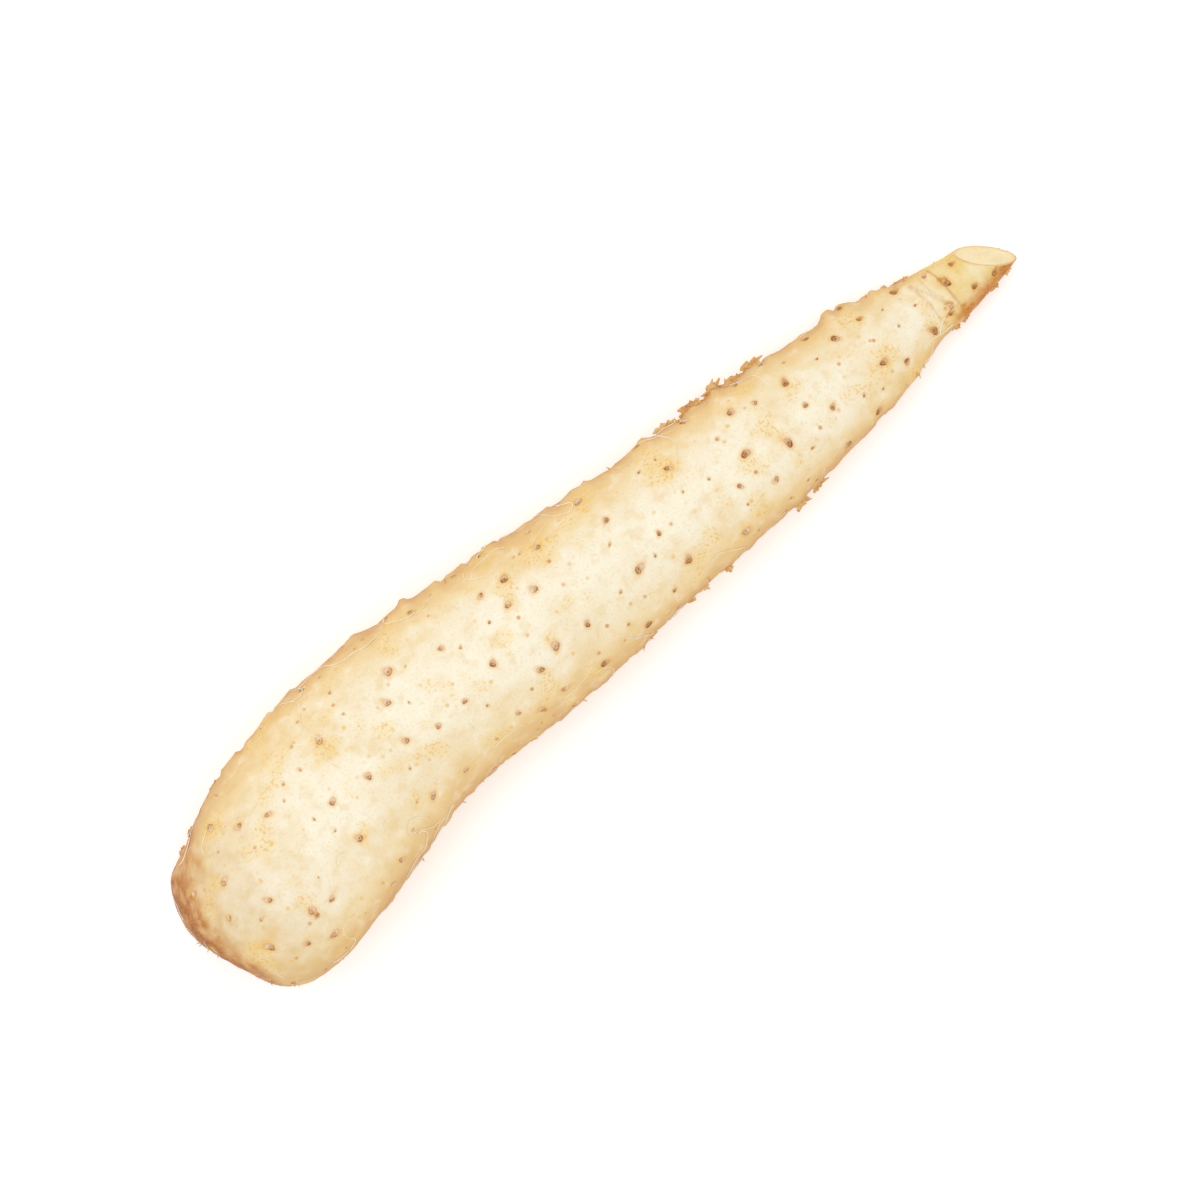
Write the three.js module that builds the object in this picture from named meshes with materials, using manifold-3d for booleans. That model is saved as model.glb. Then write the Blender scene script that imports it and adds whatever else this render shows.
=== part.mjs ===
// A Japanese yam (nagaimo): one long tuber that grew as a single piece. It lies on its side, fat end
// towards -X, and tapers towards a slanting knife cut through the neck at +X.
// Millimetres, +Z up. The origin is under the middle of the tuber, on the surface that it rests on.

import * as THREE from "three";
import { mergeVertices } from "three/addons/utils/BufferGeometryUtils.js";
import Module from "manifold-3d";

// The few sections that set the shape: distance from the fat end, sideways drift of the spine, width
// across, and how far the underside is clear of the surface below. Curves join them.
const STATIONS = [
  [-2, -7, 60, 5], // the blunt end
  [20, -7, 66, 1],
  [45, -3, 67, 0], // the fattest place
  [80, 4, 64, 0], // the bend
  [105, 5, 60, 0],
  [145, 2, 57, 1],
  [200, 0, 49, 1], // the long taper
  [250, -2, 42, 0],
  [285, -2, 34, 0], // the shoulder
  [305, -2, 24, 2],
  [320, -3, 20, 3], // the neck
  [350, -3, 10, 9],
];
const FLATTENING = 0.93; // height of a section over its width

// The fat end closes as a blunt dome, squarer than a sphere.
const DOME_LENGTH = 34;
const DOME_POWER = 2.2;

// Slow swellings that keep the sections from being true ellipses: share of the radius, lobes around,
// turn in radians per millimetre along the spine, and phase.
const SWELLINGS = [
  [0.014, 2, 0.021, 0.4],
  [0.01, 3, -0.034, 1.3],
  [0.006, 5, 0.052, 2.2],
];

// The knife cut slants across the neck. Its face looks outwards, to +Y and half upwards.
const CUT_POINT = new THREE.Vector3(333.5, -1.4, 13.8);
const CUT_NORMAL = new THREE.Vector3(0.7, 0.6, 0.5).normalize();

// Where the tuber lay on the ground it grew slightly flat.
const REST_DEPTH = 0.45;

const SECTIONS_ALONG = 64;
const SEGMENTS_AROUND = 36;
const BLOCK = 1000; // side of the blocks that stand for the knife and for the ground

const spine = new THREE.CatmullRomCurve3(
  STATIONS.map(([along, drift, width, lift]) => {
    return new THREE.Vector3(along, drift, lift + (width * FLATTENING) / 2);
  }),
  false,
  "catmullrom",
);
const girth = new THREE.CatmullRomCurve3(
  STATIONS.map(([, , width]) => new THREE.Vector3(width / 2, 0, 0)),
  false,
  "catmullrom",
);

// How much of the full section is left at this distance from the fat end.
function domeShare(along) {
  const inside = 1 - Math.min((along - STATIONS[0][0]) / DOME_LENGTH, 1);
  return Math.pow(1 - Math.pow(inside, DOME_POWER), 1 / DOME_POWER);
}

function swelling(along, angle) {
  return SWELLINGS.reduce((sum, [share, lobes, turn, phase]) => {
    return sum + share * Math.sin(lobes * angle + turn * along + phase);
  }, 1);
}

// A lathed bar with one ring per section. Sections crowd together towards the dome's pole.
function latheBlank() {
  const profile = [new THREE.Vector2(0, 0)];
  for (let i = 1; i <= SECTIONS_ALONG; i++) {
    profile.push(new THREE.Vector2(1, Math.pow(i / SECTIONS_ALONG, 1.25)));
  }
  profile.push(new THREE.Vector2(0, 1));
  return new THREE.LatheGeometry(profile, SEGMENTS_AROUND);
}

// Bends the straight bar along the spine and swells it to the girth of each section.
function bendAlongSpine(geometry) {
  const place = geometry.getAttribute("position");
  const up = new THREE.Vector3(0, 0, 1);
  for (let i = 0; i < place.count; i++) {
    const share = THREE.MathUtils.clamp(place.getY(i), 0, 1);
    const reach = Math.hypot(place.getX(i), place.getZ(i));
    const angle = Math.atan2(place.getZ(i), place.getX(i));
    const centre = spine.getPoint(share);
    const forward = spine.getTangent(share);
    const side = new THREE.Vector3().crossVectors(forward, up).normalize();
    const over = new THREE.Vector3().crossVectors(side, forward);
    const radius = reach * girth.getPoint(share).x * domeShare(centre.x) * swelling(centre.x, angle);
    centre.addScaledVector(side, radius * Math.cos(angle));
    centre.addScaledVector(over, radius * FLATTENING * Math.sin(angle));
    place.setXYZ(i, centre.x, centre.y, centre.z);
  }
  return geometry;
}

const wasm = await Module();
wasm.setup();

// A closed three.js geometry as a manifold-3d solid.
function toSolid(geometry) {
  const bare = geometry.clone();
  bare.deleteAttribute("normal");
  bare.deleteAttribute("uv");
  const merged = mergeVertices(bare, 1e-3);
  const mesh = new wasm.Mesh({
    numProp: 3,
    vertProperties: new Float32Array(merged.getAttribute("position").array),
    triVerts: new Uint32Array(merged.index.array),
  });
  return new wasm.Manifold(mesh);
}

// A manifold-3d solid as a three.js geometry with flat faces.
function toGeometry(solid) {
  const mesh = solid.getMesh();
  const geometry = new THREE.BufferGeometry();
  geometry.setAttribute("position", new THREE.BufferAttribute(mesh.vertProperties, mesh.numProp));
  geometry.setIndex(new THREE.BufferAttribute(mesh.triVerts, 1));
  const faceted = geometry.toNonIndexed();
  faceted.computeVertexNormals();
  return faceted;
}

// A block whose face passes through a point and looks back along the normal.
function blockBeyond(point, normal) {
  const block = new THREE.BoxGeometry(BLOCK, BLOCK, BLOCK);
  block.translate(0, 0, BLOCK / 2);
  const turn = new THREE.Quaternion().setFromUnitVectors(new THREE.Vector3(0, 0, 1), normal);
  block.applyQuaternion(turn);
  block.translate(point.x, point.y, point.z);
  return block;
}

const grown = toSolid(bendAlongSpine(latheBlank()));
const knife = toSolid(blockBeyond(CUT_POINT, CUT_NORMAL));
const ground = toSolid(blockBeyond(new THREE.Vector3(0, 0, REST_DEPTH), new THREE.Vector3(0, 0, -1)));
const shape = toGeometry(grown.subtract(knife).subtract(ground));

// The origin goes under the middle of the tuber's box.
shape.computeBoundingBox();
const middle = shape.boundingBox.getCenter(new THREE.Vector3());
shape.translate(-middle.x, -middle.y, -shape.boundingBox.min.z);

const skin = new THREE.MeshStandardMaterial({ color: 0xeedbb0, roughness: 0.62, metalness: 0 });
const tuber = new THREE.Mesh(shape, skin);
tuber.name = "tuber";

const yam = new THREE.Group();
yam.add(tuber);

export default yam;
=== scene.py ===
# %% [markdown]
# # A Japanese yam, from its plain solid to its finished skin
#
# A Japanese yam, or nagaimo, is a long pale tuber. It has a thin corky skin, dotted with the scars of the
# roots that fed it, a few hair-fine roots that were left on it, and a knife cut across its narrow neck.
#
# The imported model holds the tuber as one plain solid, in metres, resting on the ground plane. This script
# keeps that solid's shape and size and models the skin on it: first the form, then scars, creases, root
# hairs and flakes of cork as real geometry, and last the finishes, the light and the camera.

# %% Load the plain solid
import math

import bpy
import numpy as np
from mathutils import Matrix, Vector
from mathutils.bvhtree import BVHTree


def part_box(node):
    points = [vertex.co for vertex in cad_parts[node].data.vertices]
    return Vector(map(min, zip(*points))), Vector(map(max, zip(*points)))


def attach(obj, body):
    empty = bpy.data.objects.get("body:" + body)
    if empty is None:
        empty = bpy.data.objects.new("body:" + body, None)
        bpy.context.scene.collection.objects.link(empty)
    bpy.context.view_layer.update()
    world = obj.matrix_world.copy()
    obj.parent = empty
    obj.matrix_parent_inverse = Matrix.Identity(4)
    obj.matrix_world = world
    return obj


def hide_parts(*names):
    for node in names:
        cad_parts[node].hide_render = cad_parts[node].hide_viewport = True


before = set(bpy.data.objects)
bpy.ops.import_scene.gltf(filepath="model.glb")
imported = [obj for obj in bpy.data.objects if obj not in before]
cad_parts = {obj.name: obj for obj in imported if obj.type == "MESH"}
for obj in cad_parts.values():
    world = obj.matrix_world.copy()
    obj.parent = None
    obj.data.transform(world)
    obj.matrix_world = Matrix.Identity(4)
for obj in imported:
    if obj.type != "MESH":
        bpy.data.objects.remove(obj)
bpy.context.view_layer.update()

MM = 0.001
low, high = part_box("tuber")
print("tuber box in mm:", [round(side / MM, 1) for side in high - low])

# %% [markdown]
# ## Camera and light
#
# The yam is seen from straight above, lying from lower left to upper right. A long lens keeps its two ends
# at the same scale. Food like this is shown in a white room: one very large soft lamp overhead, and white
# all round, so that there are hardly any shadows. Here that is a large area lamp high over the yam, a weak
# one at its upper left and an even white sky.

# %% Camera
FRAME_WIDTH = 384 * MM  # what the picture spans at the yam's middle height
LENS = 150  # mm, on a sensor 36 mm wide
AXIS_TILT = math.radians(40.56)  # how far the yam's +X turns up from the picture's horizontal
AIM = Vector((-2.7, -4.39, 29)) * MM  # the picture's centre

camera_data = bpy.data.cameras.new("studio_camera")
camera_data.lens = LENS
camera_data.sensor_width = 36
camera = bpy.data.objects.new("studio_camera", camera_data)
bpy.context.collection.objects.link(camera)
camera.location = AIM + Vector((0, 0, FRAME_WIDTH * LENS / camera_data.sensor_width))
camera.rotation_euler = (0, 0, -AXIS_TILT)
bpy.context.scene.camera = camera
print("camera height in mm:", round(camera.location.z / MM))

# %% Soft studio light
def add_lamp(name, place, size, power, colour=(1, 1, 1)):
    """Adds a square area lamp at a place, aimed at the yam's middle."""
    lamp_data = bpy.data.lights.new(name, "AREA")
    lamp_data.size = size
    lamp_data.energy = power
    lamp_data.color = colour
    lamp = bpy.data.objects.new(name, lamp_data)
    bpy.context.collection.objects.link(lamp)
    lamp.location = place
    lamp.rotation_euler = (AIM - Vector(place)).to_track_quat("-Z", "Y").to_euler()
    return lamp


add_lamp("overhead_softbox", (-0.05, 0.15, 2.3), 1.5, 17.0)
add_lamp("left_softbox", (-0.9, 1.1, 1.3), 0.8, 1.5)

sky = bpy.data.worlds.new("white_room")
sky.use_nodes = True
sky.node_tree.nodes["Background"].inputs["Color"].default_value = (1, 1, 1, 1)
sky.node_tree.nodes["Background"].inputs["Strength"].default_value = 0.78
bpy.context.scene.world = sky
bpy.context.scene.view_settings.view_transform = "Standard"

# %% [markdown]
# ## Small helpers
#
# Blender's operators act on what is selected, so before each one everything is deselected and one piece
# is made active. Colours are written as the sRGB values that a painter would pick on a screen, and one
# function turns them into the linear values that the shaders work in.

# %% Helpers for pieces
def make_active(piece):
    """Selects one piece, and nothing else."""
    bpy.ops.object.select_all(action="DESELECT")
    piece.select_set(True)
    bpy.context.view_layer.objects.active = piece


def points_of(piece):
    """The piece's vertices as rows of x, y, z."""
    points = np.empty(len(piece.data.vertices) * 3)
    piece.data.vertices.foreach_get("co", points)
    return points.reshape(-1, 3)


def normals_of(piece):
    normals = np.empty(len(piece.data.vertices) * 3)
    piece.data.vertices.foreach_get("normal", normals)
    return normals.reshape(-1, 3)


def move_points(piece, points):
    piece.data.vertices.foreach_set("co", points.ravel())
    piece.data.update()


def search_tree(piece):
    """A tree that finds where rays meet a piece, and the piece's nearest point."""
    return BVHTree.FromPolygons(
        [vertex.co for vertex in piece.data.vertices],
        [polygon.vertices for polygon in piece.data.polygons],
    )


def smooth_step(value, start, end):
    """Rises from 0 at start to 1 at end, level at both."""
    share = np.clip((value - start) / (end - start), 0, 1)
    return share * share * (3 - 2 * share)


def unit(rows):
    return rows / np.maximum(np.linalg.norm(rows, axis=-1, keepdims=True), 1e-12)


# %% Helper for colours
def hex_colour(text):
    """Turns an sRGB hex colour, such as "f3e2b8", into the linear colour that a shader needs."""
    channels = [int(text[i : i + 2], 16) / 255 for i in (0, 2, 4)]
    return tuple(c / 12.92 if c <= 0.04045 else ((c + 0.055) / 1.055) ** 2.4 for c in channels) + (1,)


# %% [markdown]
# ## Reading the plain solid
#
# The finished skin needs an even grid of rings along the tuber, which the solid's long flat facets don't
# give. So a merged copy of the solid serves as a guide: rays sent out from inside it find its wall. First
# they find the middle of the tuber at stations along it. Then the knife cut is found, as the largest flat
# face that looks towards the neck end.

# %% A merged copy as the guide
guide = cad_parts["tuber"].copy()
guide.data = guide.data.copy()
guide.name = "guide"
bpy.context.collection.objects.link(guide)
make_active(guide)
bpy.ops.object.mode_set(mode="EDIT")
bpy.ops.mesh.select_all(action="SELECT")
bpy.ops.mesh.remove_doubles(threshold=0.001 * MM)
bpy.ops.object.mode_set(mode="OBJECT")
guide_tree = search_tree(guide)
print("guide faces:", len(guide.data.polygons))

# %% The knife cut
bpy.ops.object.mode_set(mode="EDIT")
bpy.ops.mesh.select_all(action="SELECT")
bpy.ops.mesh.dissolve_limited(angle_limit=math.radians(0.3))
bpy.ops.object.mode_set(mode="OBJECT")
cut_face = max((face for face in guide.data.polygons if face.normal.x > 0.5), key=lambda face: face.area)
CUT_CENTRE = Vector(cut_face.center)
CUT_NORMAL = Vector(cut_face.normal)
bpy.data.objects.remove(guide)
print("cut centre in mm:", [round(c / MM, 1) for c in CUT_CENTRE], "normal:", list(CUT_NORMAL))

# %% The middle line of the tuber
DOME = 0.45 * (high.y - low.y)  # how far the round end reaches from its pole


def section_middle(x, guess):
    """The middle of the section at x, halfway between the walls that rays meet."""
    middle = Vector((x, guess.y, guess.z))
    for _ in range(3):
        for axis in (Vector((0, 1, 0)), Vector((0, 0, 1))):
            ahead = guide_tree.ray_cast(middle, axis)[0]
            behind = guide_tree.ray_cast(middle, -axis)[0]
            middle = (ahead + behind) / 2
    return middle


stations = []
middle = (low + high) / 2
for x in np.linspace(0, CUT_CENTRE.x - 15 * MM, 20):
    middle = section_middle(x, middle)
    stations.append(middle)
middle = stations[0]
for x in np.linspace(0, low.x + DOME, 16)[1:]:
    middle = section_middle(x, middle)
    stations.insert(0, middle)
stations.append(CUT_CENTRE)
line = np.array(stations)
line_length = np.concatenate([[0], np.cumsum(np.linalg.norm(np.diff(line, axis=0), axis=1))])


def line_point(distance):
    """The point this far along the middle line."""
    return np.array([np.interp(distance, line_length, line[:, axis]) for axis in range(3)])


def line_direction(distance, reach=9 * MM):
    """The middle line's direction, evened out over a short stretch."""
    start = max(distance - reach, 0)
    end = min(distance + reach, line_length[-1])
    return unit(line_point(end) - line_point(start))


print("middle line in mm:", round(line_length[-1] / MM, 1))

# %% [markdown]
# ## The skin's form
#
# The skin starts as a UV sphere with many rings. Each ring is carried out to the wall of the guide: the
# first rings fan over the round end, the next ones run along the middle line, and the last ones tilt until
# they lie in the knife cut and close over it. The sphere's own UV map stays on it, with its seam turned to
# the underside, so a map for baking comes free.

# %% Rings of the sphere
AROUND = 152
DOME_RINGS = 40
CUT_RINGS = 16
STEP_BODY = 1.3 * MM  # between rings on the body
STEP_NECK = 0.75 * MM  # between rings near the cut
NECK = 44 * MM  # how much of the end has the finer rings
TILT = 24 * MM  # over this length the rings tilt to the cut
RIM_GAP = 0.06 * MM  # the last ring on the skin is this far short of the cut

body_length = line_length[-1]
coarse = np.linspace(0, body_length - NECK, round((body_length - NECK) / STEP_BODY) + 1)
fine = np.linspace(body_length - NECK, body_length - RIM_GAP, round(NECK / STEP_NECK) + 1)[1:]
ring_places = np.concatenate([coarse, fine])
BODY_RINGS = len(ring_places) - 1
ALONG = DOME_RINGS + BODY_RINGS + CUT_RINGS

bpy.ops.object.select_all(action="DESELECT")
bpy.ops.mesh.primitive_uv_sphere_add(segments=AROUND, ring_count=ALONG, radius=1)
skin = bpy.context.object
skin.name = skin.data.name = "yam_skin"
sphere = points_of(skin)
row = np.rint(np.arccos(np.clip(sphere[:, 2], -1, 1)) / math.pi * ALONG).astype(int)
turn = np.arctan2(sphere[:, 1], sphere[:, 0]) - math.pi / 2
print("rings:", ALONG, "vertices:", len(sphere))


# %% Each ring carried out to the wall
def ring_frame(forward):
    """Two directions square to forward: one to the side and one upwards."""
    forward = Vector(forward)
    over = (Vector((0, 0, 1)) - forward * forward.z).normalized()
    return over.cross(-forward), over


def wall(origin, direction):
    return guide_tree.ray_cast(Vector(origin), Vector(direction))[0]


placed = np.zeros_like(sphere)
fan_centre = line_point(0)
fan_forward = line_direction(0)
for ring in range(DOME_RINGS + BODY_RINGS + 1):
    if ring < DOME_RINGS:
        centre, forward = fan_centre, fan_forward
        polar = ring / DOME_RINGS * math.pi / 2
    else:
        along = ring_places[ring - DOME_RINGS]
        centre, polar = line_point(along), math.pi / 2
        share = smooth_step(along, body_length - TILT, body_length)
        forward = unit(line_direction(along) * (1 - share) + np.array(CUT_NORMAL) * share)
    side, over = ring_frame(forward)
    back = -Vector(forward) * math.cos(polar)
    for index in np.flatnonzero(row == ring):
        outward = side * math.cos(turn[index]) + over * math.sin(turn[index])
        placed[index] = wall(centre, back + outward * math.sin(polar))

move_points(skin, placed)
print("rings on the skin:", DOME_RINGS + BODY_RINGS)

# %% The last rings close over the cut
DISH = 0.5 * MM  # the drying flesh sinks a little inside its rim
rim_row = DOME_RINGS + BODY_RINGS
cut_centre, cut_normal = np.array(CUT_CENTRE), np.array(CUT_NORMAL)
column = np.rint(turn / (2 * math.pi) * AROUND).astype(int) % AROUND
rim = {column[index]: placed[index] for index in np.flatnonzero(row == rim_row)}
for index in np.flatnonzero(row > rim_row):
    share = 1 - (row[index] - rim_row) / CUT_RINGS
    out = (rim[column[index]] - cut_centre) * share
    placed[index] = cut_centre + out - cut_normal * DISH * (1 - share**3)
move_points(skin, placed)
print("skin box in mm:", np.round(np.ptp(placed, axis=0) / MM, 1))

# %% Faceting smoothed away
def add_group(piece, name, weights):
    """Makes a vertex group from one weight for each vertex."""
    group = piece.vertex_groups.new(name=name)
    levels = np.rint(np.clip(weights, 0, 1) * 20).astype(int)
    for level in range(1, 21):
        group.add(np.flatnonzero(levels == level).tolist(), level / 20, "REPLACE")
    return group.name


def apply_modifier(piece, kind, settings):
    """Adds a modifier with its settings and applies it."""
    make_active(piece)
    modifier = piece.modifiers.new(kind.lower(), kind)
    for name, value in settings.items():
        setattr(modifier, name, value)
    bpy.ops.object.modifier_apply(modifier=modifier.name)


on_skin = add_group(skin, "on_skin", smooth_step(rim_row - row, 0, 3))
apply_modifier(skin, "SMOOTH", {"factor": 0.5, "iterations": 22, "vertex_group": on_skin})
print("skin box in mm:", np.round(np.ptp(points_of(skin), axis=0) / MM, 1))

# %% [markdown]
# A tuber pushes its way down through soil and stones, so its skin is lumpy at several scales: slow
# swellings, smaller hollows and, along its flanks, fine ripples. Displace modifiers with cloud noise give
# the irregular part. A few single pushes shape the round end, whose pole bulges to one side and whose
# shoulders are hollow.

# %% Single pushes
# Each push: where, as shares of the tuber's box, how far it reaches and how high it lifts the skin, in mm.
PUSHES = [
    ((0.02, 0.72, 0.42), 9, 2.6),
    ((0.06, 0.86, 0.48), 12, -2.6),
    ((0.01, 0.33, 0.44), 8, -2.8),
    ((0.02, 0.22, 0.44), 10, -4.0),
    ((0.05, 0.05, 0.44), 10, 0.9),
]
points, normals = points_of(skin), normals_of(skin)
for place, reach, height in PUSHES:
    offset = (points - np.array(low) - np.array(place) * (high - low)) * (1, 1, 0.6)  # taller than wide
    distance = np.linalg.norm(offset, axis=1)
    points += normals * (height * MM * np.exp(-((distance / (reach * MM)) ** 2)))[:, None]
move_points(skin, points)

# %% Noise at three scales
def add_relief(piece, name, grain, height, group):
    """Raises and lowers the skin by cloud noise with this size of grain."""
    clouds = bpy.data.textures.new(name, "CLOUDS")
    clouds.noise_scale = grain
    clouds.noise_depth = 2
    settings = {"texture": clouds, "texture_coords": "LOCAL", "strength": height, "vertex_group": group}
    apply_modifier(piece, "DISPLACE", settings)


points, normals = points_of(skin), normals_of(skin)
flank = smooth_step(-normals[:, 2], -0.55, 0.1) * smooth_step(rim_row - row, 0, 4)
fat_half = smooth_step(-points[:, 0], -20 * MM, 70 * MM)  # the ripples are strongest there
on_flank = add_group(skin, "on_flank", flank * (0.35 + 0.65 * fat_half))
add_relief(skin, "swellings", 26 * MM, 1.3 * MM, on_skin)
add_relief(skin, "hollows", 9 * MM, 0.55 * MM, on_skin)
add_relief(skin, "ripples", 3.4 * MM, 0.9 * MM, on_flank)

# %% Edges of the skin
length_of_yam = high.x - low.x


def edge_point(share, edge):
    """The number of the outermost point at this share of the length. The edge is 1 for +Y, -1 for -Y."""
    near = np.flatnonzero(np.abs(points[:, 0] - (low.x + share * length_of_yam)) < 2 * MM)
    return near[np.argmax(points[near, 1] * edge)]


# %% Growth ridges
# Short ridges run up the flanks, like the edges of overlapping bark. Each rises slowly and ends in a step.
# The largest stand in a row along the +Y edge, from the fat end to past the middle.
LARGE_RIDGES = 10
RIDGES = 170
draw = np.random.default_rng(41)
points, normals = points_of(skin), normals_of(skin)
away_from_ends = (points[:, 0] > low.x + 1.1 * DOME) & (points[:, 0] < high.x - 38 * MM)
upright_side = (np.abs(normals[:, 2]) < 0.35) & away_from_ends
ridges = []
for share in np.linspace(0.12, 0.62, LARGE_RIDGES) + draw.uniform(-0.02, 0.02, LARGE_RIDGES):
    ridges.append((edge_point(share, 1), 8 * MM, 1, 11 * MM, 1.1 * MM))
for index in draw.permutation(np.flatnonzero(upright_side))[:RIDGES]:
    height = draw.uniform(0.25, 0.85) * (1.0 if points[index, 1] > 0 else 0.6) * MM
    length, reach = draw.uniform(2.5, 6) * MM, draw.uniform(5, 10) * MM
    ridges.append((index, length, draw.choice((-1, 1)), reach, height))
for index, length, steep_side, reach, height in ridges:
    offset = points - points[index]
    run = length * np.where(offset[:, 0] * steep_side > 0, 0.12, 1.0)
    ridge = np.exp(-((offset[:, 0] / run) ** 2))
    ridge *= np.exp(-((np.hypot(offset[:, 1], offset[:, 2]) / reach) ** 2))
    points += normals * (height * ridge)[:, None]
points[:, 2] = np.maximum(points[:, 2], 0)
move_points(skin, points)
print("skin box in mm:", np.round(np.ptp(points, axis=0) / MM, 1))

# %% [markdown]
# ## Root scars
#
# Each place where a root grew leaves a scar: a low corky lip round a small pit, with a dried plug in it.
# Roots grow spaced out, so the scars are scattered over the skin, never nearer to each other than a root
# needs. There are large scars, smaller ones between them, and many that are hardly more than dots. The
# finer faces and the carving follow them.

# %% A place on the skin
skin_tree = search_tree(skin)
FLANK_HEIGHT = 24  # mm, about where the flanks are widest


def drop_on_skin(x, y):
    """The place on the skin under x, y in mm, and its normal. Beside the yam, the nearest on its flank."""
    place, normal = skin_tree.ray_cast(Vector((x * MM, y * MM, 1)), Vector((0, 0, -1)))[:2]
    if place is None:
        place, normal = skin_tree.find_nearest(Vector((x, y, FLANK_HEIGHT)) * MM)[:2]
    return np.array(place), np.array(normal)


# %% Scattering the scars
scar_places, scar_radii = [], []


def scatter(count, spacing, smallest, largest, allowed):
    """Adds scars at seeded random places of the skin, none within the spacing of another."""
    wanted = len(scar_places) + count
    for index in draw.permutation(np.flatnonzero(allowed)):
        if len(scar_places) == wanted:
            return
        apart = [np.linalg.norm(place - points[index]) for place in scar_places]
        if min(apart, default=1) > spacing * draw.uniform(0.8, 1.3):
            scar_places.append(points[index])
            scar_radii.append(draw.uniform(smallest, largest))


normals = normals_of(skin)
on_side = smooth_step(rim_row - row, 2, 4) > 0.5
LARGE_UPPER_SCARS = 45
SMALL_UPPER_SCARS = 54
UPPER_SCARS = LARGE_UPPER_SCARS + SMALL_UPPER_SCARS
LOWER_SCARS = 105
DOTS = 140
UPPER_SIDE = 0.22  # the upper side is where the normal's z is at least this
upper = on_side & (normals[:, 2] >= UPPER_SIDE)
scatter(LARGE_UPPER_SCARS, 14 * MM, 1.0 * MM, 1.45 * MM, upper)
scatter(SMALL_UPPER_SCARS, 8.5 * MM, 0.75 * MM, 1.1 * MM, upper)
scatter(LOWER_SCARS, 10.5 * MM, 0.8 * MM, 1.4 * MM, on_side & (normals[:, 2] < UPPER_SIDE))
scatter(DOTS, 5.5 * MM, 0.35 * MM, 0.6 * MM, on_side)
scar_places, scar_radii = np.array(scar_places), np.array(scar_radii)
print("scars in all:", len(scar_places))

# %% Finer faces round each scar
FINEST = 0.3 * MM  # the wanted edge at a scar of the upper side
COARSER = (1, 1.5, 1.9)  # times that edge for upper, other and smallest scars


def subdivide_faces(piece, chosen, number_cuts):
    """Subdivides the chosen faces, given as one truth value for each face."""
    make_active(piece)
    bpy.ops.object.mode_set(mode="EDIT")
    bpy.ops.mesh.select_mode(type="FACE")
    bpy.ops.mesh.select_all(action="DESELECT")
    bpy.ops.object.mode_set(mode="OBJECT")
    piece.data.polygons.foreach_set("select", chosen)
    bpy.ops.object.mode_set(mode="EDIT")
    bpy.ops.mesh.subdivide(number_cuts=number_cuts)
    bpy.ops.object.mode_set(mode="OBJECT")


ring_mark = skin.data.attributes.new("ring", "FLOAT", "POINT")
ring_mark.data.foreach_set("value", row.astype(float))

face_count = len(skin.data.polygons)
face_places = np.array([face.center for face in skin.data.polygons])
face_edges = np.sqrt([face.area for face in skin.data.polygons])
cuts = np.zeros(face_count, int)
for number, (centre, radius) in enumerate(zip(scar_places, scar_radii)):
    kind = 0 if number < UPPER_SCARS else 1 if radius > 0.7 * MM else 2
    near = np.linalg.norm(face_places - centre, axis=1) < 1.3 * radius + 0.45 * MM
    wanted = np.rint(face_edges / (FINEST * COARSER[kind])) - 1
    cuts = np.where(near, np.maximum(cuts, np.clip(wanted, 0, 3)), cuts).astype(int)
skin.data.attributes.new("cuts", "INT", "FACE").data.foreach_set("value", cuts)

for number_cuts in (3, 2, 1):
    marks = np.empty(len(skin.data.polygons), int)
    skin.data.attributes["cuts"].data.foreach_get("value", marks)
    subdivide_faces(skin, marks == number_cuts, number_cuts)
    marks = np.empty(len(skin.data.polygons), int)
    skin.data.attributes["cuts"].data.foreach_get("value", marks)
    skin.data.attributes["cuts"].data.foreach_set("value", np.where(marks == number_cuts, 0, marks))
skin.data.attributes.remove(skin.data.attributes["cuts"])
triangles = sum(len(face.vertices) - 2 for face in skin.data.polygons)
print("faces made finer:", (cuts > 0).sum(), "triangles now:", triangles)

# %% Carving the scars
# Heights in scar radii: the lip, the pit inside it and the plug in the pit's middle.
LIP, PIT, PLUG = 0.10, 0.20, 0.12

points, normals = points_of(skin), normals_of(skin)
scar = np.full(len(points), 6.0)  # distance from the nearest scar's middle, in its radii
# The scar's side mark: the distance along the side of the pit that gets painted shade; the other side gets a
# painted highlight.
scar_shade_side = np.zeros(len(points))  # the same, along the scar's dark side only
scar_tone = np.full(len(points), 0.5)
carved = np.zeros(len(points))
for centre, radius in zip(scar_places, scar_radii):
    near = np.flatnonzero(np.linalg.norm(points - centre, axis=1) < 4.5 * radius)
    offset = points[near] - centre
    upright = unit(normals[near].mean(axis=0))
    # The painted-shade side of each scar leans towards -X and -Y.
    shade_lean = draw.normal(size=3) + np.array((-0.6, -0.6, 0))
    along = unit(shade_lean - upright * shade_lean.dot(upright))
    across = np.cross(upright, along)
    stretch = draw.uniform(1, 1.35)
    a, b = offset @ along / stretch, offset @ across * math.sqrt(stretch)
    angle = np.arctan2(b, a)
    ragged = 1 + 0.1 * np.sin(2 * angle + draw.uniform(0, 6)) + 0.09 * np.sin(3 * angle + draw.uniform(0, 6))
    distance = np.hypot(a, b) / radius * ragged
    tone = np.clip(0.45 - 2.2 * centre[0] + 0.15 * draw.normal(), 0, 1)  # paler towards the round end
    closer = distance < scar[near]
    chosen, distance = near[closer], distance[closer]
    scar[chosen], scar_tone[chosen] = distance, tone
    scar_shade_side[chosen] = (a / radius)[closer]
    lip = LIP * np.exp(-(((distance - 1) / 0.3) ** 2))
    pit = PIT * (1 - smooth_step(distance, 0.3, 0.95))
    plug = PLUG * (1 - smooth_step(distance, 0.1, 0.6))
    carved[chosen] = radius * (lip - pit + plug) * draw.uniform(0.7, 1.3)
points += normals * carved[:, None]
print("deepest pit in mm:", round(-carved.min() / MM, 2), "highest lip:", round(carved.max() / MM, 2))

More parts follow.
